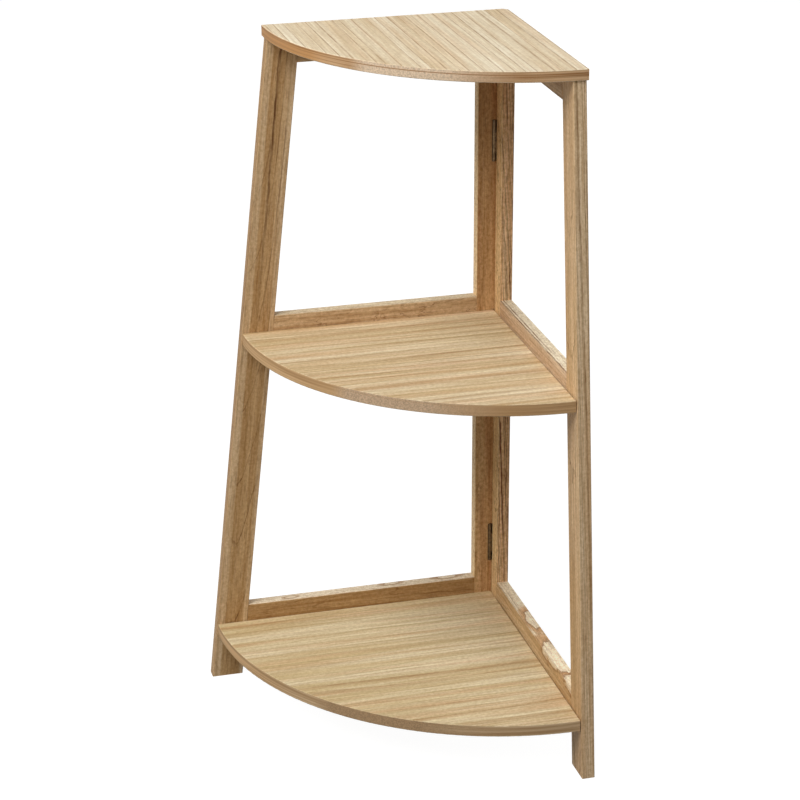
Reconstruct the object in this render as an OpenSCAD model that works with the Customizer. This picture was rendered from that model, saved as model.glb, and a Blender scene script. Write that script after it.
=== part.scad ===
// Folding corner shelf: two wooden ladder frames hinged together in the corner,
// two quarter-round boards that lie inside them and a quarter-round top board.
// X runs along the back frame, Y points away from the viewer, Z is up.

/* [Overall] */
// Height from the floor to the upper face of the top board
overall_h = 800; // [700:5:900]
// Inside corner to the outer edge of a front post, on the floor
foot_reach = 356; // [330:2:400]
// Inside corner to the outer edge of a front post, at the top of the frame
top_reach = 268; // [230:2:290]

/* [Frame members] */
// Thickness of every post and rail
frame_t = 15; // [14:0.5:18]
// Width of a front post, and of the back frame's rear post
post_w = 37; // [34:0.5:42]
// Height of the top rails
top_rail_h = 29; // [24:1:36]
// How far the middle rails stand above the middle board
middle_lip = 18; // [12:1:26]
// How far the bottom rails stand above the bottom board
bottom_lip = 21; // [12:1:26]
// Radius of the eased long edges of posts and rails
frame_arris = 1.0; // [0.5:0.1:1.5]
// Gap between the side frame's rear post and the back frame
corner_gap = 0.5; // [0.3:0.1:1]

/* [Boards] */
// Thickness of the top board
top_board_t = 12.5; // [11:0.5:16]
// Thickness of the middle and the bottom board
shelf_board_t = 14; // [11:0.5:16]
// Height of the middle board's upper face
middle_board_z = 443; // [380:1:500]
// Height of the bottom board's upper face
bottom_board_z = 71; // [60:1:90]
// How far the top board stands out past the outer faces of the frames
top_back_overhang = 1.5; // [0.5:0.5:3]
// How far the top board stands out past the front posts
top_front_overhang = 2.5; // [1:0.5:6]
// How far a shelf board stays behind the outer edge of the front posts
shelf_front_inset = 0.5; // [0:0.5:4]
// Gap between a shelf board and the side frame
board_side_gap = 1.0; // [0.5:0.1:2]
// Gap between a shelf board and the back frame
board_back_gap = 0.3; // [0.2:0.1:1]
// Cut across the back corner of the top board
top_corner_cut = 6.5; // [3:0.5:9]
// Cut across the back corner of a shelf board
shelf_corner_cut = 3; // [2:0.5:6]
// Radius of the eased edges of the boards
board_arris = 0.8; // [0.5:0.1:1.5]

/* [Hinges] */
// Length of a butt hinge along its pin
hinge_h = 48; // [40:1:56]
// Top of the frames down to the middle of the upper hinge
upper_hinge_drop = 137.5; // [108:0.5:188]
// Height of the middle of the lower hinge
lower_hinge_z = 138; // [128:1:180]
// Radius of the knuckles
knuckle_r = 2.3; // [2:0.1:2.8]
// Gap between the knuckles and the plane of the back frame's rear post
knuckle_clear = 0.2; // [0.1:0.05:0.4]
// Radius of the pin
pin_r = 1.1; // [0.9:0.05:1.2]
// Radius of the pin's head
pin_head_r = 1.7; // [1.5:0.1:1.9]
// Height of the pin's head
pin_head_h = 0.8; // [0.5:0.1:1.2]
// Radial play of the pin in the knuckles
pin_play = 0.05; // [0.02:0.01:0.1]
// Thickness of a leaf
leaf_t = 1.0; // [0.8:0.1:1.1]
// Edge of the leaf to the outer face of the frame
leaf_margin = 2.2; // [1.5:0.1:3]
// Gap between neighbouring knuckles
knuckle_gap = 0.2; // [0.1:0.05:0.4]
// Clearance of the knuckles in their groove
groove_clear = 0.35; // [0.3:0.05:0.6]
// Radius of a hinge screw's shank
hinge_screw_r = 1.3; // [1:0.1:1.5]
// Length of a hinge screw
hinge_screw_l = 11; // [9:0.5:12]

/* [Dowels] */
// Radius of the joint dowels
dowel_r = 3; // [2.5:0.25:4]
// Length of a joint dowel, half of it in each member
dowel_l = 30; // [24:2:32]
// Radial play of a dowel in its hole
dowel_play = 0.05; // [0.02:0.01:0.1]
// Radial play of the top board on its locating dowels
lift_play = 0.2; // [0.1:0.05:0.4]
// How far the locating dowels stand up into the top board
locating_rise = 7; // [5:0.5:8]
// Length of a locating dowel inside the top rail
locating_depth = 16; // [12:1:20]

/* [Rest plates] */
// Length of a steel rest plate along its rail
plate_l = 36; // [32:1:44]
// Thickness of a rest plate
plate_t = 2; // [1.5:0.5:3]
// Edge of a rest plate to the outer face of its rail
plate_margin = 2.5; // [1:0.5:4]
// Radius of a rest plate's corners
plate_corner_r = 3; // [1:0.5:5]
// How far a rest plate reaches under its board
plate_reach = 14; // [10:1:18]
// Distance between the two screws of a rest plate
plate_screw_pitch = 20; // [16:1:24]
// Radius of a rest plate screw's shank
plate_screw_r = 1.6; // [1.4:0.1:1.9]
// Length of a rest plate screw
plate_screw_l = 14; // [12:1:18]

/* [Hidden] */
$fn = 64;
eps = 0.01;
// Slack past a face in cuts and blanks
over = 5;

post_colour = [0.66, 0.51, 0.36];
rail_colour = [0.72, 0.57, 0.40];
board_colour = [0.80, 0.67, 0.48];
top_colour = [0.86, 0.76, 0.60];
dowel_colour = [0.78, 0.66, 0.48];
bronze_colour = [0.33, 0.27, 0.18];
steel_colour = [0.62, 0.62, 0.63];

// Frame: u runs from the inside corner along the frame, v from its inner to its outer face
frame_h = overall_h - top_board_t;
lean = atan((foot_reach - top_reach) / frame_h);
post_run = post_w / cos(lean);
rear_w = post_w - frame_t;
middle_rail_h = middle_lip + shelf_board_t;
bottom_rail_h = bottom_lip + shelf_board_t;
middle_under = middle_board_z - shelf_board_t;
bottom_under = bottom_board_z - shelf_board_t;
top_under = frame_h - top_rail_h;

function outer_edge(z) = foot_reach - (foot_reach - top_reach) * z / frame_h;
function inner_edge(z) = outer_edge(z) - post_run;

// Place of the inside corner, so that the origin is under the middle of the whole box
back_edge = frame_t + top_back_overhang;
corner = (foot_reach - back_edge) / 2;

// Hinge: the pin stands just inside the corner, halfway between the two frames
upper_hinge_z = frame_h - upper_hinge_drop;
pin_x = -(knuckle_r + knuckle_clear);
pin_y = -corner_gap / 2;
leaf_w = frame_t - leaf_margin - pin_x;
leaf_seat = knuckle_r - leaf_t;
hinge_screw_x = (knuckle_r + leaf_w) / 2;
hinge_screw_pitch = hinge_h / 3;

// Flat-head screws: the head as a multiple of the shank, its cross recess as shares of the head,
// and the slack round a screw and under its tip
screw_head_ratio = 1.9;
recess_length = 1.1;
recess_width = 0.28;
screw_seat_play = 0.05;
pilot_play = 0.05;

// Rest plates: their middles as shares of the clear rail, staggered so that they pass in the fold
back_rest_places = [0.15, 0.62];
side_rest_places = [0.38, 0.85];
plate_seat = frame_t - plate_margin;

// Rounded rectangle from the origin, for the sections of posts, rails and boards
module eased_section(w, t, r) {
    translate([r, 0]) square([w - 2 * r, t]);
    translate([0, r]) square([w, t - 2 * r]);
    for (x = [r, w - r], y = [r, t - r])
        translate([x, y]) circle(r);
}

// Frame space to object space
module in_back_frame() {
    translate([corner, corner, 0]) mirror([1, 0, 0]) children();
}
module in_side_frame() {
    translate([corner, corner, 0]) rotate([0, 0, -90]) children();
}
module at_corner() {
    translate([corner, corner, 0]) children();
}

// A dowel along X from the origin, with chamfered ends
module dowel(r, l) {
    chamfer = r / 4;
    rotate([0, 90, 0]) rotate_extrude()
        polygon([[0, 0], [r - chamfer, 0], [r, chamfer], [r, l - chamfer], [r - chamfer, l], [0, l]]);
}

// Flat-head wood screw: head face at the origin, pointing down
module wood_screw(r, l) {
    head_r = r * screw_head_ratio;
    head_h = head_r - r;
    tip_h = 2 * r;
    tip_r = r / 4;
    difference() {
        rotate_extrude()
            polygon([[0, 0], [head_r, 0], [r, -head_h], [r, tip_h - l], [tip_r, -l], [0, -l]]);
        for (a = [0, 90])
            rotate([0, 0, a])
                cube([head_r * recess_length, head_r * recess_width, head_h], center = true);
    }
}

// The hole that such a screw needs: countersink and pilot
module screw_hole(r, l) {
    head_r = r * screw_head_ratio + screw_seat_play;
    shank_r = r + screw_seat_play;
    bottom = -l - pilot_play;
    rotate_extrude()
        polygon([[0, over], [head_r, over], [head_r, 0], [shank_r, shank_r - head_r],
                 [shank_r, bottom], [0, bottom]]);
}

// Heights of the two dowels in a joint of a rail
function dowel_zs(z, h) = [z + h / 4, z + h * 3 / 4];

// The rails of either frame as [underside, height]
rails = [[top_under, top_rail_h], [middle_under, middle_rail_h], [bottom_under, bottom_rail_h]];

// Bores for the dowels of every rail: at the rear post or at the leaning front post
module rear_dowel_bores() {
    for (rail = rails, z = dowel_zs(rail[0], rail[1]))
        translate([rear_w - dowel_l / 2 - dowel_play, 0, z]) dowel_bore();
}
module front_dowel_bores() {
    for (rail = rails, z = dowel_zs(rail[0], rail[1]))
        translate([inner_edge(z) - dowel_l / 2 - dowel_play, 0, z]) dowel_bore();
}
module dowel_bore() {
    translate([0, frame_t / 2, 0]) rotate([0, 90, 0])
        cylinder(h = dowel_l + 2 * dowel_play, r = dowel_r + dowel_play);
}
module frame_dowels() {
    for (rail = rails, z = dowel_zs(rail[0], rail[1])) {
        translate([rear_w - dowel_l / 2, frame_t / 2, z]) dowel(dowel_r, dowel_l);
        translate([inner_edge(z) - dowel_l / 2, frame_t / 2, z]) dowel(dowel_r, dowel_l);
    }
}

// Upright post from u0 to u1
module upright_post(u0, u1) {
    translate([u0, 0, 0]) linear_extrude(frame_h) eased_section(u1 - u0, frame_t, frame_arris);
}

// Front post: leans out towards the floor, its ends cut level
module leaning_post() {
    difference() {
        intersection() {
            translate([foot_reach, 0, 0]) rotate([0, -lean, 0]) translate([-post_w, 0, -post_w])
                linear_extrude(frame_h + 3 * post_w) eased_section(post_w, frame_t, frame_arris);
            translate([top_reach - 2 * post_w, -over, 0])
                cube([foot_reach - top_reach + 3 * post_w, frame_t + 2 * over, frame_h]);
        }
        front_dowel_bores();
    }
}

// Rail between the posts, its front end cut to the lean of the post
module rail(z, h) {
    difference() {
        intersection() {
            translate([0, 0, z]) rotate([90, 0, 90])
                linear_extrude(foot_reach) eased_section(frame_t, h, frame_arris);
            translate([0, frame_t + over, 0]) rotate([90, 0, 0]) linear_extrude(frame_t + 2 * over)
                polygon([[rear_w, z - over], [inner_edge(z - over), z - over],
                         [inner_edge(z + h + over), z + h + over], [rear_w, z + h + over]]);
        }
        rear_dowel_bores();
        front_dowel_bores();
    }
}

// Steel rest plates and their screws, for a rail whose underside is at z
function rest_u(z, share) = rear_w + (inner_edge(z) - rear_w) * share;
module rest_screw_places(z, share) {
    for (side = [-1, 1])
        translate([rest_u(z, share) + side * plate_screw_pitch / 2, frame_t / 2, z - plate_t])
            rotate([180, 0, 0]) children();
}
module rest_plate(z, share) {
    difference() {
        translate([rest_u(z, share) - plate_l / 2, -plate_reach, z - plate_t])
            linear_extrude(plate_t) eased_section(plate_l, plate_reach + plate_seat, plate_corner_r);
        rest_screw_places(z, share) screw_hole(plate_screw_r, plate_screw_l);
    }
}
module rest_pilots(z, places) {
    for (share = places)
        rest_screw_places(z, share) screw_hole(plate_screw_r, plate_screw_l);
}
module rest_screws(places) {
    for (z = [middle_under, bottom_under], share = places)
        rest_screw_places(z, share) wood_screw(plate_screw_r, plate_screw_l);
}

// Quarter-round board: back corner at the origin, straight edges along -X and -Y
module quarter_board(r, t, cut) {
    difference() {
        intersection() {
            rotate_extrude($fn = 180) {
                square([r - board_arris, t]);
                translate([0, board_arris]) square([r, t - 2 * board_arris]);
                for (y = [board_arris, t - board_arris])
                    translate([r - board_arris, y]) circle(board_arris);
            }
            translate([-r - over, 0, 0]) rotate([90, 0, 90]) linear_extrude(r + 2 * over)
                translate([-r - over, 0]) eased_section(r + over, t, board_arris);
            translate([0, over, 0]) rotate([90, 0, 0]) linear_extrude(r + 2 * over)
                translate([-r - over, 0]) eased_section(r + over, t, board_arris);
        }
        translate([-cut, 0, -over]) rotate([0, 0, -45]) cube([2 * cut, cut, t + 2 * over]);
    }
}

// Top of the frames: two dowels in the back frame that locate the top board
module locating_places() {
    first = rear_w + dowel_l;
    last = inner_edge(frame_h) - dowel_l;
    for (u = [first, last])
        translate([u, frame_t / 2, frame_h]) children();
}

// Hinge leaf round the pin axis; knuckles lists the [low, high] ends of this leaf's knuckles
module hinge_leaf(knuckles) {
    difference() {
        union() {
            translate([knuckle_r + groove_clear, leaf_seat, -hinge_h / 2])
                cube([leaf_w - knuckle_r - groove_clear, leaf_t, hinge_h]);
            for (k = knuckles) {
                translate([0, 0, k[0]]) cylinder(h = k[1] - k[0], r = knuckle_r);
                translate([0, leaf_seat, k[0]]) cube([knuckle_r + groove_clear + eps, leaf_t, k[1] - k[0]]);
            }
        }
        translate([0, 0, -hinge_h]) cylinder(h = 2 * hinge_h, r = pin_r + pin_play);
        hinge_screw_places() screw_hole(hinge_screw_r, hinge_screw_l);
    }
}
module hinge_screw_places() {
    for (i = [-1, 0, 1])
        translate([hinge_screw_x, leaf_seat, i * hinge_screw_pitch]) rotate([90, 0, 0]) children();
}
outer_knuckle_from = hinge_h / 4 + knuckle_gap / 2;
middle_knuckle_to = hinge_h / 4 - knuckle_gap / 2;
outer_knuckles = [[-hinge_h / 2, -outer_knuckle_from], [outer_knuckle_from, hinge_h / 2]];
middle_knuckle = [[-middle_knuckle_to, middle_knuckle_to]];

// Pin axis of the hinge whose middle is at z; the swing side is the mirror image of the fixed side
module at_pin(z) {
    at_corner() translate([pin_x, pin_y, z]) children();
}
module swing_side() {
    mirror([0, 1, 0]) children();
}
module fixed_leaf(z) {
    color(bronze_colour) at_pin(z) hinge_leaf(outer_knuckles);
}
module swing_leaf(z) {
    color(bronze_colour) at_pin(z) swing_side() hinge_leaf(middle_knuckle);
}
module hinge_pin(z) {
    color(bronze_colour) at_pin(z) {
        translate([0, 0, -hinge_h / 2]) cylinder(h = hinge_h + eps, r = pin_r);
        translate([0, 0, hinge_h / 2]) cylinder(h = pin_head_h, r = pin_head_r);
    }
}
hinge_zs = [upper_hinge_z, lower_hinge_z];

// Seat of a leaf in the wood with the screws' pilots, and the groove for the knuckles
mortise_low = -hinge_h / 2 - groove_clear;
mortise_h = hinge_h + 2 * groove_clear + pin_head_h;
module leaf_mortise() {
    translate([0, -over, mortise_low]) cube([leaf_w + groove_clear, over + knuckle_r, mortise_h]);
    hinge_screw_places() screw_hole(hinge_screw_r, hinge_screw_l);
}
module knuckle_groove() {
    translate([-knuckle_r - groove_clear, -over, mortise_low])
        cube([2 * (knuckle_r + groove_clear), over + knuckle_r + groove_clear, mortise_h]);
}

module back_rear_post() {
    color(post_colour) difference() {
        in_back_frame() upright_post(-frame_t, rear_w);
        in_back_frame() rear_dowel_bores();
        for (z = hinge_zs)
            at_pin(z) {
                leaf_mortise();
                knuckle_groove();
            }
    }
}
module back_front_post() {
    color(post_colour) in_back_frame() leaning_post();
}
module back_top_rail() {
    color(rail_colour) in_back_frame() difference() {
        rail(top_under, top_rail_h);
        locating_places() translate([0, 0, -locating_depth - dowel_play])
            cylinder(h = locating_depth + over, r = dowel_r + dowel_play);
    }
}
module back_middle_rail() {
    color(rail_colour) in_back_frame() difference() {
        rail(middle_under, middle_rail_h);
        rest_pilots(middle_under, back_rest_places);
    }
}
module back_bottom_rail() {
    color(rail_colour) in_back_frame() difference() {
        rail(bottom_under, bottom_rail_h);
        rest_pilots(bottom_under, back_rest_places);
    }
}
module back_frame_dowels() {
    color(dowel_colour) in_back_frame() frame_dowels();
}

module side_rear_post() {
    color(post_colour) difference() {
        in_side_frame() upright_post(corner_gap, rear_w);
        in_side_frame() rear_dowel_bores();
        for (z = hinge_zs)
            at_pin(z) swing_side() leaf_mortise();
    }
}
module side_front_post() {
    color(post_colour) in_side_frame() leaning_post();
}
module side_top_rail() {
    color(rail_colour) in_side_frame() rail(top_under, top_rail_h);
}
module side_middle_rail() {
    color(rail_colour) in_side_frame() difference() {
        rail(middle_under, middle_rail_h);
        rest_pilots(middle_under, side_rest_places);
    }
}
module side_bottom_rail() {
    color(rail_colour) in_side_frame() difference() {
        rail(bottom_under, bottom_rail_h);
        rest_pilots(bottom_under, side_rest_places);
    }
}
module side_frame_dowels() {
    color(dowel_colour) in_side_frame() frame_dowels();
}

module top_board() {
    color(top_colour) difference() {
        at_corner() translate([back_edge, back_edge, frame_h])
            quarter_board(top_reach + top_front_overhang + back_edge, top_board_t, top_corner_cut);
        in_back_frame() locating_places() translate([0, 0, -over])
            cylinder(h = over + locating_rise + lift_play, r = dowel_r + lift_play);
    }
}
module top_board_dowels() {
    color(dowel_colour) in_back_frame() locating_places()
        translate([0, 0, locating_rise]) rotate([0, 90, 0]) dowel(dowel_r, locating_depth + locating_rise);
}
module shelf_board(z) {
    color(board_colour) at_corner() translate([-board_side_gap, -board_back_gap, z - shelf_board_t])
        quarter_board(outer_edge(z) - shelf_front_inset - board_side_gap, shelf_board_t, shelf_corner_cut);
}
module middle_board() {
    shelf_board(middle_board_z);
}
module bottom_board() {
    shelf_board(bottom_board_z);
}

module upper_hinge_fixed_leaf() {
    fixed_leaf(upper_hinge_z);
}
module upper_hinge_swing_leaf() {
    swing_leaf(upper_hinge_z);
}
module upper_hinge_pin() {
    hinge_pin(upper_hinge_z);
}
module lower_hinge_fixed_leaf() {
    fixed_leaf(lower_hinge_z);
}
module lower_hinge_swing_leaf() {
    swing_leaf(lower_hinge_z);
}
module lower_hinge_pin() {
    hinge_pin(lower_hinge_z);
}
module hinge_fixed_screws() {
    color(bronze_colour) for (z = hinge_zs)
        at_pin(z) hinge_screw_places() wood_screw(hinge_screw_r, hinge_screw_l);
}
module hinge_swing_screws() {
    color(bronze_colour) for (z = hinge_zs)
        at_pin(z) swing_side() hinge_screw_places() wood_screw(hinge_screw_r, hinge_screw_l);
}

module back_rest(z, share) {
    color(steel_colour) in_back_frame() rest_plate(z, share);
}
module side_rest(z, share) {
    color(steel_colour) in_side_frame() rest_plate(z, share);
}
module middle_back_rest_rear() {
    back_rest(middle_under, back_rest_places[0]);
}
module middle_back_rest_front() {
    back_rest(middle_under, back_rest_places[1]);
}
module middle_side_rest_rear() {
    side_rest(middle_under, side_rest_places[0]);
}
module middle_side_rest_front() {
    side_rest(middle_under, side_rest_places[1]);
}
module bottom_back_rest_rear() {
    back_rest(bottom_under, back_rest_places[0]);
}
module bottom_back_rest_front() {
    back_rest(bottom_under, back_rest_places[1]);
}
module bottom_side_rest_rear() {
    side_rest(bottom_under, side_rest_places[0]);
}
module bottom_side_rest_front() {
    side_rest(bottom_under, side_rest_places[1]);
}
module back_rest_screws() {
    color(steel_colour) in_back_frame() rest_screws(back_rest_places);
}
module side_rest_screws() {
    color(steel_colour) in_side_frame() rest_screws(side_rest_places);
}

back_rear_post();
back_front_post();
back_top_rail();
back_middle_rail();
back_bottom_rail();
back_frame_dowels();
side_rear_post();
side_front_post();
side_top_rail();
side_middle_rail();
side_bottom_rail();
side_frame_dowels();
top_board();
top_board_dowels();
middle_board();
bottom_board();
upper_hinge_fixed_leaf();
upper_hinge_swing_leaf();
upper_hinge_pin();
lower_hinge_fixed_leaf();
lower_hinge_swing_leaf();
lower_hinge_pin();
hinge_fixed_screws();
hinge_swing_screws();
middle_back_rest_rear();
middle_back_rest_front();
middle_side_rest_rear();
middle_side_rest_front();
bottom_back_rest_rear();
bottom_back_rest_front();
bottom_side_rest_rear();
bottom_side_rest_front();
back_rest_screws();
side_rest_screws();
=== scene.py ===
"""Corner shelf of light wood: two hinged ladder frames, two shelf boards and a top board."""
import math

import bpy
from mathutils import Euler, Matrix, Vector


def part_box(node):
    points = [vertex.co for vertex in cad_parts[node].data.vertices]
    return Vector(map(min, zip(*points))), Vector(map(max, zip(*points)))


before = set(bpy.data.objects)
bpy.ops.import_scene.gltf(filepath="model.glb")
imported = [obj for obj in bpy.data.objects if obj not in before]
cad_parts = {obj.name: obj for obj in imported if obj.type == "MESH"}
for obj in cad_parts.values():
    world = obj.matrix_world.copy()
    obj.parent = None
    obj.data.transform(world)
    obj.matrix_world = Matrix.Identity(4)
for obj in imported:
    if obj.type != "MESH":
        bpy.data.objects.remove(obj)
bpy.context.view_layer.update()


# Camera
# A long lens, a good two and a half metres away and just higher than the shelf, that looks
# down on the boards from in front of the back frame's left post.
camera_place = Vector((-0.67835, -2.55165, 1.46260))
camera_azimuth = math.radians(-14.939)
camera_elevation = math.radians(23.529)
camera_roll = math.radians(-0.304)

lens = bpy.data.cameras.new("camera")
lens.sensor_fit = "HORIZONTAL"
lens.sensor_width = 36.0
lens.lens = 114.08
lens.shift_x = 0.0048
lens.shift_y = 0.0995
camera = bpy.data.objects.new("camera", lens)
bpy.context.scene.collection.objects.link(camera)
pan = Euler((0, 0, camera_azimuth)).to_matrix()
tilt = Euler((math.pi / 2 - camera_elevation, 0, 0)).to_matrix()
roll = Euler((0, 0, camera_roll)).to_matrix()
camera.matrix_world = Matrix.Translation(camera_place) @ (pan @ tilt @ roll).to_4x4()
bpy.context.scene.camera = camera
bpy.context.scene.view_settings.view_transform = "Standard"


# Studio
# A pale floor that keeps a faint shadow, a white surround, and three soft lamps: a broad one high
# at the front left, a weak one in front, and a low one behind that lights the far sides.
floor_reach = 6.0
floor_pale = (0.32, 0.32, 0.31, 1)
floor_seen = (0.16, 0.16, 0.16, 1)
floor_glow = 0.96
white = (1, 1, 1, 1)
surround_light = 0.22
shelf_middle = Vector((0, 0, 0.4))


def add(tree, kind, inputs=None, **settings):
    """Adds a shader node. An input that is a socket is linked, any other is set as its value."""
    made = tree.nodes.new("ShaderNode" + kind)
    for key, value in settings.items():
        setattr(made, key, value)
    for key, value in (inputs or {}).items():
        if isinstance(value, bpy.types.NodeSocket):
            tree.links.new(value, made.inputs[key])
        else:
            made.inputs[key].default_value = value
    return made


def calc(tree, operation, *values):
    """A Math node over sockets and numbers, and its result."""
    return add(tree, "Math", dict(enumerate(values)), operation=operation).outputs[0]


def seen_directly(tree):
    """1 for rays from the camera, in mirrors and through glass, 0 for rays that carry light."""
    path = add(tree, "LightPath").outputs
    glossy = calc(tree, "MAXIMUM", path["Is Camera Ray"], path["Is Glossy Ray"])
    return calc(tree, "MAXIMUM", glossy, path["Is Transmission Ray"])


def floor_material():
    """Pale and matt for the light, and near white with the shadow still in it for the eye."""
    material = bpy.data.materials.new("floor")
    material.use_nodes = True
    tree = material.node_tree
    tree.nodes.clear()
    lit = add(tree, "BsdfDiffuse", {"Color": floor_pale}).outputs[0]
    shown = add(tree, "BsdfDiffuse", {"Color": floor_seen}).outputs[0]
    glow = add(tree, "Emission", {"Strength": floor_glow}).outputs[0]
    shown = add(tree, "AddShader", {0: shown, 1: glow}).outputs[0]
    mixed = add(tree, "MixShader", {0: seen_directly(tree), 1: lit, 2: shown}).outputs[0]
    add(tree, "OutputMaterial", {"Surface": mixed})
    return material


floor_mesh = bpy.data.meshes.new("floor")
corners = [(-floor_reach, -floor_reach), (floor_reach, -floor_reach),
           (floor_reach, floor_reach), (-floor_reach, floor_reach)]
floor_mesh.from_pydata([(x, y, 0) for x, y in corners], [], [(0, 1, 2, 3)])
floor_mesh.materials.append(floor_material())
floor = bpy.data.objects.new("floor", floor_mesh)
bpy.context.scene.collection.objects.link(floor)

surround = bpy.data.worlds.new("surround")
surround.use_nodes = True
sky = surround.node_tree
sky.nodes.clear()
sky_light = add(sky, "Background", {"Strength": surround_light}).outputs[0]
sky_shown = add(sky, "Background", {"Color": white}).outputs[0]
sky_mixed = add(sky, "MixShader", {0: seen_directly(sky), 1: sky_light, 2: sky_shown}).outputs[0]
add(sky, "OutputWorld", {"Surface": sky_mixed})
bpy.context.scene.world = surround


def softbox(name, place, size, watts):
    """A square lamp at a place, turned to the middle of the shelf."""
    lamp = bpy.data.lights.new(name, "AREA")
    lamp.size = size
    lamp.energy = watts
    box = bpy.data.objects.new(name, lamp)
    box.location = place
    box.rotation_euler = (shelf_middle - Vector(place)).to_track_quat("-Z", "Y").to_euler()
    bpy.context.scene.collection.objects.link(box)


softbox("lamp_left", place=(-1.9, -1.1, 3.1), size=2.4, watts=112)
softbox("lamp_front", place=(-0.4, -3.2, 2.4), size=1.2, watts=8)
softbox("lamp_behind", place=(2.4, 2.4, 0.6), size=1.6, watts=48)


# Posts
# Four lengths of light open-grained timber, 15 mm thick, sawn with the grain along them, planed,
# eased at the edges and oiled matt. The rear ones stand upright and the front ones lean.
def mix_colour(tree, factor, first, second, how="MIX"):
    """The colour between first and second at factor."""
    mixed = add(tree, "Mix", data_type="RGBA", blend_type=how)
    for index, value in ((0, factor), (6, first), (7, second)):
        if isinstance(value, bpy.types.NodeSocket):
            tree.links.new(value, mixed.inputs[index])
        else:
            mixed.inputs[index].default_value = value
    return mixed.outputs[2]


def ramp(tree, factor, stops):
    """A grey value that follows (place, value) stops."""
    made = add(tree, "ValToRGB", {"Fac": factor})
    elements = made.color_ramp.elements
    elements[0].position, elements[1].position = stops[0][0], stops[-1][0]
    elements[0].color = (stops[0][1],) * 3 + (1,)
    elements[1].color = (stops[-1][1],) * 3 + (1,)
    for place, value in stops[1:-1]:
        elements.new(place).color = (value,) * 3 + (1,)
    return made.outputs["Color"]


def product(tree, first, *others):
    """The product of sockets and numbers."""
    for other in others:
        first = calc(tree, "MULTIPLY", first, other)
    return first


def arrows(tree, operation, *values):
    """A Vector Math node over sockets and vectors, and its result."""
    made = add(tree, "VectorMath", dict(enumerate(values)), operation=operation)
    return made.outputs["Value" if operation in ("LENGTH", "DOT_PRODUCT") else "Vector"]


def scaled(tree, arrow, factor):
    """An arrow made longer by a factor."""
    return add(tree, "VectorMath", {0: arrow, 3: factor}, operation="SCALE").outputs["Vector"]


def parts(tree, arrow):
    """The X, Y and Z of an arrow."""
    return add(tree, "SeparateXYZ", {0: arrow}).outputs


def noise(tree, place, stretch, detail=2.0, give="Fac", rough=0.55):
    """Cloudy noise over a place that is stretched by a factor each way."""
    spread = arrows(tree, "MULTIPLY", place, stretch)
    inputs = {"Vector": spread, "Scale": 1.0, "Detail": detail, "Roughness": rough}
    return add(tree, "TexNoise", inputs).outputs[give]


def wobble(tree, place, stretch, reach):
    """A shift that wanders over the place, by up to half the reach each way."""
    shift = noise(tree, place, stretch, give="Color")
    return scaled(tree, arrows(tree, "SUBTRACT", shift, (0.5, 0.5, 0.5)), reach)


def new_group(name, takes, gives):
    """An empty shader group with its inputs, as name to kind and default, and its outputs."""
    tree = bpy.data.node_groups.new(name, "ShaderNodeTree")
    for label, (kind, default) in takes.items():
        socket = tree.interface.new_socket(label, in_out="INPUT", socket_type="NodeSocket" + kind)
        if default is not None:
            socket.default_value = default
    for label, kind in gives.items():
        tree.interface.new_socket(label, in_out="OUTPUT", socket_type="NodeSocket" + kind)
    return tree, tree.nodes.new("NodeGroupInput").outputs, tree.nodes.new("NodeGroupOutput").inputs


def growth_rings(tree, takes, place):
    """Rings round the pith, which bulge round a knot. Gives their count outwards, and how steeply
    they meet the face: 1 where they cross it squarely, near 0 where they lie flat in it."""
    knot_bulge = 0.012
    flattest = 0.03
    drift = wobble(tree, place, (2.4, 16, 16), takes["Wander"])
    ripple = wobble(tree, place, (55, 120, 120), takes["Curl"])
    along = parts(tree, takes["Position"])["X"]
    out = arrows(tree, "SUBTRACT", takes["Position"], takes["Pith"])
    out = arrows(tree, "SUBTRACT", out, scaled(tree, takes["Pith Slope"], along))
    out = arrows(tree, "ADD", out, arrows(tree, "ADD", drift, ripple))
    out = arrows(tree, "MULTIPLY", out, (0, 1, 1))
    radius = arrows(tree, "LENGTH", out)
    flat = calc(tree, "DIVIDE", arrows(tree, "DOT_PRODUCT", out, takes["Facing"]), radius)
    steep = calc(tree, "MULTIPLY_ADD", calc(tree, "MULTIPLY", flat, flat), -1.0, 1.0)
    steep = calc(tree, "SQRT", calc(tree, "MAXIMUM", steep, flattest))
    near_knot = calc(tree, "EXPONENT", calc(tree, "MULTIPLY", takes["Knot Gap"], -1.0))
    radius = calc(tree, "MULTIPLY_ADD", near_knot, knot_bulge, radius)
    count = calc(tree, "DIVIDE", radius, takes["Ring Width"])
    uneven = add(tree, "TexNoise", {"W": count, "Scale": 0.45, "Detail": 2.0}, noise_dimensions="1D")
    return calc(tree, "MULTIPLY_ADD", uneven.outputs["Fac"], 1.5, count), steep


def ring_lines(tree, takes, place, count, steep, broken):
    """How dark a ring is drawn: a fine line of open pores where it starts, and a stain that fades
    outwards from there. Both are stronger in some parts of the piece than in others."""
    from_line = product(tree, calc(tree, "PINGPONG", count, 0.5), takes["Ring Width"])
    line_width = product(tree, takes["Line Width"], steep)
    pores = ramp(tree, calc(tree, "DIVIDE", from_line, line_width), [(0.25, 1.0), (0.8, 0.0)])
    pores = product(tree, pores, broken, takes["Lines"])
    stain = ramp(tree, calc(tree, "FRACT", count),
                 [(0.0, 1.0), (0.3, 0.45), (0.7, 0.0), (0.93, 0.0), (1.0, 1.0)])
    stain = product(tree, stain, takes["Fade"], steep)
    strength = ramp(tree, noise(tree, place, (2.0, 60, 60)), [(0.36, 0.06), (0.62, 1.0)])
    strength = calc(tree, "MAXIMUM", strength, takes["Steady"])
    return product(tree, calc(tree, "MAXIMUM", pores, stain), strength)


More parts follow.
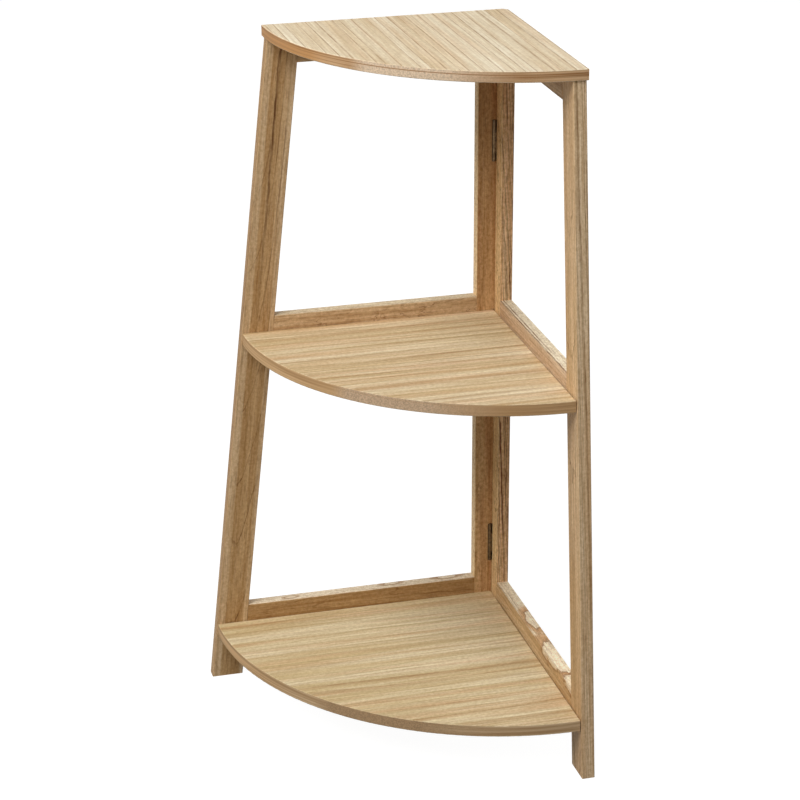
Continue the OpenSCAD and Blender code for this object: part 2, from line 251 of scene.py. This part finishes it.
def tone_bands(tree, takes, place, count):
    """How far the wood goes from its pale to its middle tone: in broad bands, from ring to ring,
    and from one end of the piece to the other, which on some pieces is painted light and shade."""
    bands = ramp(tree, noise(tree, place, (1.6, 45, 45), 4.0, rough=0.7), [(0.38, 0.0), (0.62, 1.0)])
    bands = product(tree, bands, takes["Bands"])
    by_ring = add(tree, "TexWhiteNoise", {"W": calc(tree, "FLOOR", count)}, noise_dimensions="1D")
    by_ring = product(tree, by_ring.outputs["Value"], takes["Ring Tone"])
    by_end = product(tree, parts(tree, takes["Position"])["X"], takes["Bleach"], -1.0)
    bands = calc(tree, "ADD", calc(tree, "ADD", bands, by_ring), by_end)
    return calc(tree, "MAXIMUM", calc(tree, "MINIMUM", bands, 1.0), 0.0)


def knot_zones(tree, takes, place):
    """The pale heart of a knot, the ruddy patch round it, and the thin bark line between them."""
    raggedness = 0.9
    ragged = calc(tree, "SUBTRACT", noise(tree, place, (60, 160, 160)), 0.5)
    gap = calc(tree, "MULTIPLY_ADD", ragged, raggedness, takes["Knot Gap"])
    gap = calc(tree, "DIVIDE", gap, 3.0)
    heart = ramp(tree, gap, [(0.0, 0.75), (0.26, 0.6), (0.31, 0.0)])
    halo = ramp(tree, gap, [(0.0, 0.0), (0.29, 0.0), (0.35, 0.75), (0.5, 0.6), (0.62, 0.0)])
    bark = ramp(tree, gap, [(0.0, 0.0), (0.29, 0.0), (0.325, 0.7), (0.36, 0.2), (0.42, 0.0)])
    return heart, halo, bark


def glue_seam(tree, takes, top_face):
    """A dark seam along a rail's upper edge, and a second one beside it that ends half way."""
    seam_width = 0.0018
    second_gap = 0.0036
    second_width = 0.0016
    section = parts(tree, takes["Position"])
    side = calc(tree, "SUBTRACT", section["Z"], takes["Seam Place"])
    seam = calc(tree, "DIVIDE", calc(tree, "ABSOLUTE", side), seam_width)
    seam = ramp(tree, seam, [(0.3, 1.0), (0.8, 0.0)])
    second = calc(tree, "ABSOLUTE", calc(tree, "ADD", side, second_gap))
    second = ramp(tree, calc(tree, "DIVIDE", second, second_width), [(0.3, 0.9), (0.8, 0.0)])
    rear_half = ramp(tree, calc(tree, "MULTIPLY_ADD", section["X"], 3.0, 0.5), [(0.5, 1.0), (0.8, 0.0)])
    seam = calc(tree, "MAXIMUM", seam, product(tree, second, rear_half))
    return product(tree, seam, top_face, takes["Seam"])


def heart_streak(tree, takes, wide_face):
    """A dark streak that winds up the upper half of a wide face, the paler wood on one side of it,
    and the pale margins of the face."""
    streak_width = 0.003
    winding = 0.004
    margin_shift = 0.0015
    section = parts(tree, takes["Position"])
    bend = add(tree, "TexNoise", {"W": product(tree, section["X"], 7.0)}, noise_dimensions="1D")
    side = calc(tree, "SUBTRACT", section["Y"], winding / 2)
    side = calc(tree, "MULTIPLY_ADD", bend.outputs["Fac"], winding, side)
    side = calc(tree, "SUBTRACT", side, takes["Streak Place"])
    reach = ramp(tree, section["X"], [(0.0, 0.0), (0.3, 1.0)])
    reach = product(tree, reach, wide_face, takes["Streak"])
    streak = calc(tree, "DIVIDE", calc(tree, "ABSOLUTE", side), streak_width)
    streak = product(tree, ramp(tree, streak, [(0.25, 1.0), (0.45, 0.3), (0.9, 0.0)]), reach)
    pale_side = ramp(tree, calc(tree, "MULTIPLY_ADD", side, -100.0, -0.4), [(0.3, 0.0), (0.9, 0.5)])
    off_centre = calc(tree, "ABSOLUTE", calc(tree, "ADD", section["Y"], margin_shift))
    margin = ramp(tree, product(tree, off_centre, 50.0), [(0.535, 0.0), (0.59, 0.6)])
    return streak, product(tree, pale_side, reach), product(tree, margin, wide_face, takes["Streak"])


def uneven_tone(tree, strength, colour, pattern, stops, darker, lighter):
    """A colour made darker and lighter by a pattern, at a strength."""
    tone = mix_colour(tree, ramp(tree, pattern, stops), darker, lighter)
    return mix_colour(tree, strength, colour, tone, "MULTIPLY")


def timber_group():
    """Wood cut from a round trunk. X of Position runs along the grain and Z out of the wide face."""
    tree, takes, gives = new_group("timber", {
        "Position": ("Vector", None), "Facing": ("Vector", None), "Seed": ("Vector", None),
        "Pith": ("Vector", (0, 0.3, -0.1)), "Pith Slope": ("Vector", (0, 0, 0)),
        "Knot Gap": ("Float", 9.0), "Ring Width": ("Float", 0.006), "Wander": ("Float", 0.012),
        "Curl": ("Float", 0.001), "Lines": ("Float", 0.85), "Line Width": ("Float", 0.0016),
        "Steady": ("Float", 0.0), "Fade": ("Float", 0.4), "Ring Tone": ("Float", 0.3),
        "Bands": ("Float", 0.8), "Bleach": ("Float", 0.0), "Ruddiness": ("Float", 0.4),
        "Flecks": ("Float", 0.3), "Fibre": ("Float", 0.9), "Grit": ("Float", 0.7),
        "Wear": ("Float", 0.5), "Sapwood": ("Float", 0.0),
        "Seam": ("Float", 0.0), "Seam Place": ("Float", 0.0),
        "Streak": ("Float", 0.0), "Streak Place": ("Float", 0.0),
        "Edge Tone": ("Color", (1, 1, 1, 1)),
        "Pale": ("Color", (0.7, 0.5, 0.3, 1)), "Mid": ("Color", (0.6, 0.4, 0.2, 1)),
        "Dark": ("Color", (0.3, 0.17, 0.08, 1)), "Ruddy": ("Color", (0.6, 0.3, 0.15, 1)),
        "Sap": ("Color", (0.8, 0.62, 0.43, 1)),
    }, {"Colour": "Color", "Roughness": "Float", "Height": "Float"})
    place = arrows(tree, "ADD", takes["Position"], takes["Seed"])

    # Which face this is: sawn end, upper edge, either edge, or an arris between two faces that is painted
    # pale, as wear and a painted highlight.
    faces = parts(tree, arrows(tree, "ABSOLUTE", takes["Facing"]))
    squareness = calc(tree, "MAXIMUM", calc(tree, "MAXIMUM", faces["X"], faces["Y"]), faces["Z"])
    arris = ramp(tree, squareness, [(0.86, 1.0), (0.985, 0.0)])
    worn_and_lit_patches = ramp(tree, noise(tree, place, (30, 90, 90), 3.0), [(0.35, 0.25), (0.65, 1.0)])
    arris = product(tree, arris, worn_and_lit_patches, takes["Wear"], calc(tree, "SUBTRACT", 1.0, takes["Seam"]))
    end_grain = ramp(tree, faces["X"], [(0.35, 0.0), (0.9, 1.0)])
    either_edge = ramp(tree, faces["Y"], [(0.6, 0.0), (0.9, 1.0)])
    top_face = ramp(tree, parts(tree, takes["Facing"])["Y"], [(0.6, 0.0), (0.9, 1.0)])
    sapwood = product(tree, top_face, takes["Sapwood"])

    # The wood's colours, with sapwood on the upper edge and knots; on some pieces that pale upper edge is
    # a lit side, painted light.
    count, steep = growth_rings(tree, takes, place)
    bands = tone_bands(tree, takes, place, count)
    colour = mix_colour(tree, bands, takes["Pale"], takes["Mid"])
    ruddy_place = arrows(tree, "ADD", place, (5, 3, 1))
    ruddy = ramp(tree, noise(tree, ruddy_place, (3, 90, 90), 3.0), [(0.48, 0.0), (0.7, 1.0)])
    colour = mix_colour(tree, product(tree, ruddy, takes["Ruddiness"]), colour, takes["Ruddy"])
    sap_bands = calc(tree, "MULTIPLY_ADD", bands, 0.22, 0.04)
    colour = mix_colour(tree, sapwood, colour, mix_colour(tree, sap_bands, takes["Sap"], takes["Mid"]))
    heart, halo, bark = knot_zones(tree, takes, place)
    colour = mix_colour(tree, heart, colour, takes["Sap"])
    halo_shade = mix_colour(tree, 0.35, takes["Ruddy"], takes["Dark"])
    colour = mix_colour(tree, product(tree, halo, top_face), colour, halo_shade)
    streak, pale_side, margin = heart_streak(tree, takes, faces["Z"])
    colour = mix_colour(tree, pale_side, colour, takes["Sap"])
    colour = mix_colour(tree, margin, colour, takes["Sap"])

    # Dark lines and short dashes: fainter on the margins and on the pale upper edge of sapwood and painted
    # light.
    broken = ramp(tree, noise(tree, place, (40, 500, 500)), [(0.32, 0.35), (0.6, 1.0)])
    lines = ring_lines(tree, takes, place, count, steep, broken)
    lines = product(tree, lines, calc(tree, "MULTIPLY_ADD", margin, -1.2, 1.0))
    grooves = product(tree, lines, calc(tree, "MULTIPLY_ADD", sapwood, -0.6, 1.0))
    seam = calc(tree, "MAXIMUM", glue_seam(tree, takes, top_face), streak)
    lines = calc(tree, "MAXIMUM", grooves, product(tree, seam, broken))
    lines = calc(tree, "MAXIMUM", lines, bark)
    colour = mix_colour(tree, lines, colour, takes["Dark"])
    dashes = ramp(tree, noise(tree, place, (50, 700, 700), 1.0), [(0.54, 0.0), (0.68, 1.0)])
    colour = mix_colour(tree, product(tree, dashes, takes["Flecks"]), colour, takes["Dark"])

    # Long fibres, a fine mottle, and the open pores of end grain and of the pale upper edge of sapwood and
    # painted light.
    fibre = noise(tree, place, (9, 330, 330), 4.0)
    even = calc(tree, "MULTIPLY_ADD", sapwood, -0.7, 1.0)
    colour = uneven_tone(tree, product(tree, takes["Fibre"], even), colour, fibre,
                         [(0.32, 0.0), (0.68, 1.0)], (0.76, 0.67, 0.56, 1), (1.13, 1.16, 1.21, 1))
    mottle = noise(tree, place, (230, 270, 270), 3.0, rough=0.7)
    colour = uneven_tone(tree, takes["Grit"], colour, mottle,
                         [(0.35, 0.0), (0.65, 1.0)], (0.80, 0.74, 0.65, 1), (1.16, 1.19, 1.23, 1))
    speckle = noise(tree, place, (600, 900, 900))
    colour = uneven_tone(tree, calc(tree, "MAXIMUM", end_grain, sapwood), colour, speckle,
                         [(0.3, 0.0), (0.7, 1.0)], (0.88, 0.82, 0.74, 1), (1.2, 1.22, 1.25, 1))
    # Painted highlight and wear: worn, lit arrises are mixed toward the pale colour.
    colour = mix_colour(tree, arris, colour, takes["Pale"])
    # Edges multiplied by a tone: on some pieces a wood tone, on others painted light and shade between an
    # edge and its face.
    colour = mix_colour(tree, either_edge, colour, takes["Edge Tone"], "MULTIPLY")
    tree.links.new(colour, gives["Colour"])

    # Matt oil, duller in the lines and on the ends, and a relief of grooves, fibres and dashes.
    oil = 0.44
    rough = calc(tree, "MULTIPLY_ADD", lines, 0.12, oil)
    rough = calc(tree, "MULTIPLY_ADD", fibre, 0.12, rough)
    tree.links.new(calc(tree, "MULTIPLY_ADD", end_grain, 0.15, rough), gives["Roughness"])
    height = calc(tree, "MULTIPLY_ADD", grooves, -0.4, product(tree, fibre, 0.35))
    tree.links.new(calc(tree, "MULTIPLY_ADD", dashes, -0.3, height), gives["Height"])
    return tree


timber = timber_group()


def tint(red, green, blue):
    """A colour in the 0 to 255 steps of a paint chart, as the linear colour that a shader takes."""
    steps = [value / 255 for value in (red, green, blue)]
    return tuple(s / 12.92 if s < 0.04045 else ((s + 0.055) / 1.055) ** 2.4 for s in steps) + (1,)


def timber_material(name, piece, along, face, knots=(), **look):
    """Oiled timber for one CAD piece, with its grain along one direction and its wide face across.
    Each knot is a place from the piece's middle in metres, along, across and out, and a radius."""
    knot_stretch = (0.3, 1, 1)
    no_knot_near = 9.0
    low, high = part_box(piece)
    along, face = Vector(along).normalized(), Vector(face)
    turn = Matrix((along, face.cross(along), face)).transposed().to_euler()
    material = bpy.data.materials.new(name)
    material.use_nodes = True
    tree = material.node_tree
    shader = tree.nodes["Principled BSDF"]
    coords = add(tree, "TexCoord").outputs
    place = add(tree, "Mapping", {0: coords["Object"], "Location": (low + high) / 2, "Rotation": turn},
                vector_type="TEXTURE").outputs[0]
    facing = add(tree, "Mapping", {0: coords["Normal"], "Rotation": turn},
                 vector_type="TEXTURE").outputs[0]
    grain = add(tree, "Group", node_tree=timber)
    tree.links.new(place, grain.inputs["Position"])
    tree.links.new(facing, grain.inputs["Facing"])
    for key, value in look.items():
        grain.inputs[key.replace("_", " ").title()].default_value = value
    nearest = no_knot_near
    for spot, radius in knots:
        gap = arrows(tree, "MULTIPLY", arrows(tree, "SUBTRACT", place, spot), knot_stretch)
        gap = calc(tree, "DIVIDE", arrows(tree, "LENGTH", gap), radius)
        nearest = calc(tree, "MINIMUM", nearest, gap)
    if knots:
        tree.links.new(nearest, grain.inputs["Knot Gap"])
    relief = add(tree, "Bump", {"Strength": 0.4, "Distance": 0.0005, "Height": grain.outputs["Height"]})
    tree.links.new(grain.outputs["Colour"], shader.inputs["Base Color"])
    tree.links.new(grain.outputs["Roughness"], shader.inputs["Roughness"])
    tree.links.new(relief.outputs[0], shader.inputs["Normal"])
    shader.inputs["Specular IOR Level"].default_value = 0.1
    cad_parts[piece].material_slots[0].material = material
    return material


up, right, left, away, toward = (0, 0, 1), (1, 0, 0), (-1, 0, 0), (0, 1, 0), (0, -1, 0)
lean = 0.1111
timber_material("back_front_post_wood", "back_front_post", (lean, 0, 1), toward,
                seed=(1.3, 0.2, 0.7), pith=(0.03, 0.012, -0.035), pith_slope=(0, 0.03, 0.06),
                ring_width=0.0055, wander=0.009, lines=1.0, line_width=0.0012, fade=0.2,
                steady=0.5, fibre=0.7, ruddiness=0.35, streak=1.0, streak_place=0.002,
                sap=tint(222, 194, 156), pale=tint(206, 171, 125), mid=tint(177, 139, 92),
                dark=tint(104, 68, 38), ruddy=tint(176, 132, 84))
# Painted shade and light: this post is made darker towards its top, where the top board shades it, and its
# left side, which faces the lamp, is painted pale with raised sapwood and edge colours.
timber_material("back_rear_post_wood", "back_rear_post", up, toward,
                seed=(4.1, 1.2, 0.3), pith=(0, 0.02, -0.03), pith_slope=(0, 0.02, 0.05),
                ring_width=0.0045, wander=0.014, curl=0.007, lines=0.5, fade=0.5, steady=0.3,
                ruddiness=0.7, bleach=-1.5, grit=1.0, sapwood=1.0, edge_tone=(1.1, 1.0, 0.86, 1),
                sap=tint(255, 238, 202), pale=tint(214, 179, 133), mid=tint(190, 150, 105),
                dark=tint(134, 92, 54), ruddy=tint(182, 132, 90))
# Painted light: this post's pale and mid colours are raised to make up for the shade of its corner, and
# its edges are toned apart from its shaded face.
timber_material("side_rear_post_wood", "side_rear_post", up, left,
                seed=(2.2, 3.1, 0.9), pith=(0, -0.01, -0.1), pith_slope=(0, 0.02, 0.05),
                ring_width=0.0036, wander=0.016, curl=0.003, lines=1.0, line_width=0.0011,
                fade=0.25, steady=0.55, flecks=0.4, grit=1.0, fibre=0.6,
                edge_tone=(1.0, 0.93, 0.97, 1), pale=tint(247, 221, 171),
                mid=tint(240, 198, 145), dark=tint(108, 60, 27), ruddy=tint(232, 184, 134))
timber_material("side_front_post_wood", "side_front_post", (0, lean, 1), left,
                seed=(7.4, 0.6, 2.1), pith=(0, 0, -0.12), pith_slope=(0, 0.01, 0.015),
                ring_width=0.0038, wander=0.006, lines=1.0, line_width=0.001, fade=0.3,
                steady=0.5, bleach=0.6, edge_tone=(1.07, 1.13, 1.24, 1),
                pale=tint(226, 196, 155), mid=tint(199, 165, 121),
                dark=tint(132, 97, 60), ruddy=tint(214, 172, 126))


# Rails
# Six lengths of the same timber between the posts, dowelled at both ends. Their flat-sawn inner
# faces show arches, and their upper edges are pale sapwood, with a knot here and there.
rail_top = 0.0175
rail_shades = dict(pale=tint(224, 196, 158), mid=tint(196, 162, 119), dark=tint(130, 88, 50),
                   ruddy=tint(194, 152, 108), sap=tint(238, 222, 190), sapwood=1.0, lines=0.8, fade=0.55)
timber_material("back_top_rail_wood", "back_top_rail", right, toward,
                seed=(3.3, 5.2, 0.1), pith=(0, 0.01, -0.03), pith_slope=(0, 0.05, 0.04), **rail_shades)
timber_material("back_middle_rail_wood", "back_middle_rail", right, toward,
                seed=(5.3, 2.2, 4.1), pith=(0.02, 0.0, -0.022), pith_slope=(0, 0.02, 0.08),
                ring_width=0.005, wander=0.02, curl=0.009, seam=0.5, seam_place=0.0068, **rail_shades)
low_shades = dict(rail_shades, pale=tint(199, 164, 116), mid=tint(174, 135, 88),
                  sap=tint(252, 238, 212))
timber_material("back_bottom_rail_wood", "back_bottom_rail", right, toward,
                seed=(1.3, 7.2, 2.1), pith=(0, 0.01, -0.03), pith_slope=(0, 0.06, 0.05),
                ring_width=0.0042, wander=0.018, curl=0.002, line_width=0.0022, steady=0.45,
                knots=[((-0.087, rail_top, 0), 0.0022), ((0.0415, rail_top, -0.004), 0.003),
                       ((0.112, rail_top, -0.004), 0.004)], **low_shades)
timber_material("side_top_rail_wood", "side_top_rail", toward, left,
                seed=(6.3, 1.2, 3.1), pith=(0, 0.01, -0.03), pith_slope=(0, 0.05, 0.04), **rail_shades)
middle_shades = dict(rail_shades, pale=tint(230, 206, 176), mid=tint(207, 175, 140),
                     dark=tint(124, 78, 40), sap=tint(255, 244, 216), lines=0.3, fade=0.2)
timber_material("side_middle_rail_wood", "side_middle_rail", toward, left,
                seed=(2.8, 4.2, 6.1), pith=(0, 0.05, -0.03), pith_slope=(0, 0.02, 0.02),
                seam=1.0, seam_place=0.0066, fibre=0.6, bands=0.6, ruddiness=0.2, **middle_shades)
# Painted light: this rail's near-white sapwood colour on the top partly stands in for light, the rail is
# made paler towards the rear where the middle board shades it, and its top and bottom faces are brightened
# by the edge tone.
bottom_shades = dict(rail_shades, pale=tint(222, 193, 150), mid=tint(195, 161, 115),
                     dark=tint(130, 82, 40), ruddy=tint(232, 172, 98), sap=tint(255, 242, 214),
                     lines=0.5, fade=0.3)
timber_material("side_bottom_rail_wood", "side_bottom_rail", toward, left,
                seed=(8.3, 3.2, 5.1), pith=(0, 0.0, -0.03), pith_slope=(0, 0.05, 0.05),
                seam=0.4, seam_place=0.0066, bands=0.4, bleach=-2.0, ruddiness=0.2,
                edge_tone=(1.05, 1.03, 1.0, 1),
                knots=[((-0.035, rail_top, -0.003), 0.0068), ((0.064, rail_top, -0.001), 0.0125),
                       ((0.145, rail_top, 0), 0.012)], **bottom_shades)


# Boards
# Three quarter-round boards glued up from staves. The two shelf boards lie loose with their grain
# along the back frame. The top board is paler, and its grain runs along the side frame.
def rim_group():
    """The sawn edge of a board: layers along it, speckled end grain round the middle of the curve."""
    line_width = 0.001
    tree, takes, gives = new_group("rim", {
        "Position": ("Vector", None), "Normal": ("Vector", None), "Colour": ("Color", None),
        "Top": ("Float", 0.8), "Line Depth": ("Float", 0.004), "Line": ("Float", 0.5),
        "Tan": ("Color", (0.5, 0.3, 0.15, 1)), "Brown": ("Color", (0.3, 0.18, 0.09, 1)),
        "Front Tan": ("Color", (0.5, 0.3, 0.15, 1)),
        "End Grain": ("Color", (0.7, 0.5, 0.4, 1)),
    }, {"Colour": "Color"})

    # Where this is: on the rim at all, on its curve, on its front, or where it cuts the grain.
    normal = parts(tree, takes["Normal"])
    to_front = calc(tree, "ABSOLUTE", normal["Y"])
    sawn = ramp(tree, calc(tree, "ABSOLUTE", normal["Z"]), [(0.25, 1.0), (0.6, 0.0)])
    curved = ramp(tree, product(tree, normal["X"], normal["Y"]), [(0.1, 0.0), (0.16, 1.0)])
    diagonal = ramp(tree, to_front, [(0.60, 0.0), (0.66, 1.0), (0.86, 1.0), (0.97, 0.0)])
    front = ramp(tree, to_front, [(0.42, 0.0), (0.54, 1.0)])

    # Tan wood with brown layers, then the end grain, then one dark line below the top.
    colour = mix_colour(tree, front, takes["Tan"], takes["Front Tan"])
    layers = ramp(tree, noise(tree, takes["Position"], (5, 5, 420), 3.0), [(0.38, 0.0), (0.62, 1.0)])
    colour = mix_colour(tree, layers, colour, takes["Brown"])
    spots = ramp(tree, noise(tree, takes["Position"], (520, 520, 620), 3.0), [(0.32, 0.7), (0.62, 1.1)])
    speckled = mix_colour(tree, 1.0, takes["End Grain"], spots, "MULTIPLY")
    colour = mix_colour(tree, product(tree, diagonal, curved), colour, speckled)
    depth = calc(tree, "SUBTRACT", takes["Top"], parts(tree, takes["Position"])["Z"])
    near = calc(tree, "ABSOLUTE", calc(tree, "SUBTRACT", depth, takes["Line Depth"]))
    line = ramp(tree, calc(tree, "DIVIDE", near, line_width), [(0.25, 1.0), (0.75, 0.0)])
    line_end = ramp(tree, to_front, [(0.3, 0.0), (0.6, 1.0)])
    colour = mix_colour(tree, product(tree, line, takes["Line"], line_end), colour, takes["Brown"])
    tree.links.new(mix_colour(tree, sawn, takes["Colour"], colour), gives["Colour"])
    return tree


rim = rim_group()


def board_material(name, piece, along, rim_look, **look):
    """Timber for one board, with its sawn rim over it."""
    material = timber_material(name, piece, along, up, **look)
    tree = material.node_tree
    shader = tree.nodes["Principled BSDF"]
    coords = add(tree, "TexCoord").outputs
    edge = add(tree, "Group", node_tree=rim)
    tree.links.new(coords["Object"], edge.inputs["Position"])
    tree.links.new(coords["Normal"], edge.inputs["Normal"])
    tree.links.new(shader.inputs["Base Color"].links[0].from_socket, edge.inputs["Colour"])
    tree.links.new(edge.outputs["Colour"], shader.inputs["Base Color"])
    edge.inputs["Top"].default_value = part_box(piece)[1].z
    for key, value in rim_look.items():
        edge.inputs[key.replace("_", " ").title()].default_value = value


shelf_shades = dict(dark=tint(168, 122, 68), ruddy=tint(222, 184, 142), lines=0.68, line_width=0.0026,
                    fade=0.58, flecks=0.15, bleach=1.0, wear=0.15, ruddiness=0.6, fibre=0.68, grit=0.5)
middle_rim = dict(tan=tint(216, 178, 132), front_tan=tint(206, 168, 122), brown=tint(180, 141, 98),
                  end_grain=tint(204, 174, 142), line_depth=0.0028, line=0.35)
board_material("middle_board_wood", "middle_board", right, middle_rim,
               seed=(3.9, 6.2, 0.4), pith=(0, 0.5, -0.35), ring_width=0.012, wander=0.018,
               pale=tint(243, 227, 194), mid=tint(219, 195, 150), **shelf_shades)
bottom_rim = dict(middle_rim, front_tan=tint(212, 182, 143), brown=tint(174, 140, 101),
                  end_grain=tint(178, 146, 110))
board_material("bottom_board_wood", "bottom_board", right, bottom_rim,
               seed=(0.9, 9.2, 3.4), pith=(0, 0.5, -0.3), ring_width=0.013, wander=0.022,
               pale=tint(240, 225, 190), mid=tint(216, 194, 147), **shelf_shades)
top_rim = dict(tan=tint(199, 149, 97), front_tan=tint(216, 178, 136), brown=tint(160, 116, 74),
               end_grain=tint(228, 202, 172), line_depth=0.0042, line=0.9)
board_material("top_board_wood", "top_board", away, top_rim,
               seed=(5.9, 1.2, 7.4), pith=(0, 1.2, 0), ring_width=0.013, wander=0.0012, curl=0.0,
               lines=0.8, line_width=0.0014, steady=0.85, fade=0.0, flecks=0.12, fibre=0.7,
               grit=0.35, ring_tone=0.5, bands=0.6, pale=tint(248, 236, 209),
               mid=tint(223, 199, 158), dark=tint(168, 126, 82), ruddy=tint(230, 196, 154))


# Dowels
# Turned hardwood pegs, glued into the posts and rails; two more stand up out of the back frame's
# top rail and locate the top board.
for pegs in ("back_frame_dowels", "side_frame_dowels", "top_board_dowels"):
    timber_material(pegs + "_wood", pegs, right, up, seed=(9.1, 0.4, 0.2), pith=(0, 0.05, 0.02),
                    ring_width=0.003, lines=0.3, pale=tint(224, 196, 150), mid=tint(206, 172, 124),
                    dark=tint(150, 112, 70), ruddy=tint(206, 164, 112))


# Hinges
# Two butt hinges of dark aged brass in the corner. A leaf is let into each rear post and held by
# three countersunk screws; the leaves turn on a pin with turned heads.
def metal_group():
    """Sheet or turned metal under a film of tarnish, rubbed bright in places and finely scratched."""
    tree, takes, gives = new_group("metal", {
        "Position": ("Vector", None), "Film": ("Float", 0.7), "Patch": ("Float", 300.0),
        "Scratches": ("Float", 0.4), "Roughness": ("Float", 0.4),
        "Bright": ("Color", (0.5, 0.4, 0.2, 1)), "Tarnished": ("Color", (0.1, 0.08, 0.04, 1)),
    }, {"Colour": "Color", "Roughness": "Float", "Height": "Float"})
    place = scaled(tree, takes["Position"], takes["Patch"])
    patches = ramp(tree, noise(tree, place, (1, 1, 1), 4.0), [(0.35, 0.4), (0.65, 1.0)])
    film = product(tree, patches, takes["Film"])
    hairs = ramp(tree, noise(tree, place, (9, 9, 0.7), 1.0), [(0.62, 0.0), (0.72, 1.0)])
    hairs = product(tree, hairs, takes["Scratches"])
    film = product(tree, film, calc(tree, "SUBTRACT", 1.0, hairs))
    pits = ramp(tree, noise(tree, place, (7, 7, 7)), [(0.3, 0.0), (0.45, 1.0)])
    colour = mix_colour(tree, film, takes["Bright"], takes["Tarnished"])
    pitted = ramp(tree, pits, [(0.0, 0.6), (1.0, 1.0)])
    tree.links.new(mix_colour(tree, 1.0, colour, pitted, "MULTIPLY"), gives["Colour"])
    rough = calc(tree, "MULTIPLY_ADD", film, 0.2, takes["Roughness"])
    tree.links.new(calc(tree, "MULTIPLY_ADD", hairs, -0.1, rough), gives["Roughness"])
    tree.links.new(calc(tree, "MULTIPLY_ADD", hairs, -0.5, pits), gives["Height"])
    return tree


metal = metal_group()


def metal_material(name, pieces, **look):
    """One metal for a set of CAD pieces."""
    material = bpy.data.materials.new(name)
    material.use_nodes = True
    tree = material.node_tree
    shader = tree.nodes["Principled BSDF"]
    surface = add(tree, "Group", node_tree=metal)
    tree.links.new(add(tree, "TexCoord").outputs["Object"], surface.inputs["Position"])
    for key, value in look.items():
        surface.inputs[key.title()].default_value = value
    relief = add(tree, "Bump", {"Strength": 0.25, "Distance": 0.0002, "Height": surface.outputs["Height"]})
    tree.links.new(surface.outputs["Colour"], shader.inputs["Base Color"])
    tree.links.new(surface.outputs["Roughness"], shader.inputs["Roughness"])
    tree.links.new(relief.outputs[0], shader.inputs["Normal"])
    shader.inputs["Metallic"].default_value = 1.0
    for piece in pieces:
        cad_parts[piece].material_slots[0].material = material


leaves = [place + kind for place in ("upper_", "lower_")
          for kind in ("hinge_fixed_leaf", "hinge_swing_leaf")]
metal_material("hinge_brass", leaves, film=0.9, roughness=0.42,
               bright=tint(146, 122, 92), tarnished=tint(84, 70, 52))
metal_material("pin_brass", ["upper_hinge_pin", "lower_hinge_pin"], film=0.8, roughness=0.34,
               bright=tint(164, 138, 98), tarnished=tint(84, 70, 50))
metal_material("hinge_screw_brass", ["hinge_fixed_screws", "hinge_swing_screws"], film=0.7,
               bright=tint(176, 150, 98), tarnished=tint(96, 80, 50), patch=500, roughness=0.36)


# Rests
# Eight small zinc-plated steel plates that carry the edges of the shelf boards from under the
# rails, each with its own countersunk screws.
rests = [board + side for board in ("middle_", "bottom_")
         for side in ("back_rest_rear", "back_rest_front", "side_rest_rear", "side_rest_front")]
metal_material("rest_zinc", rests, film=0.8, patch=160, roughness=0.3,
               bright=tint(206, 208, 208), tarnished=tint(150, 154, 158))
metal_material("rest_screw_zinc", ["back_rest_screws", "side_rest_screws"], film=0.6, patch=420,
               bright=tint(214, 212, 200), tarnished=tint(158, 156, 146), roughness=0.28)
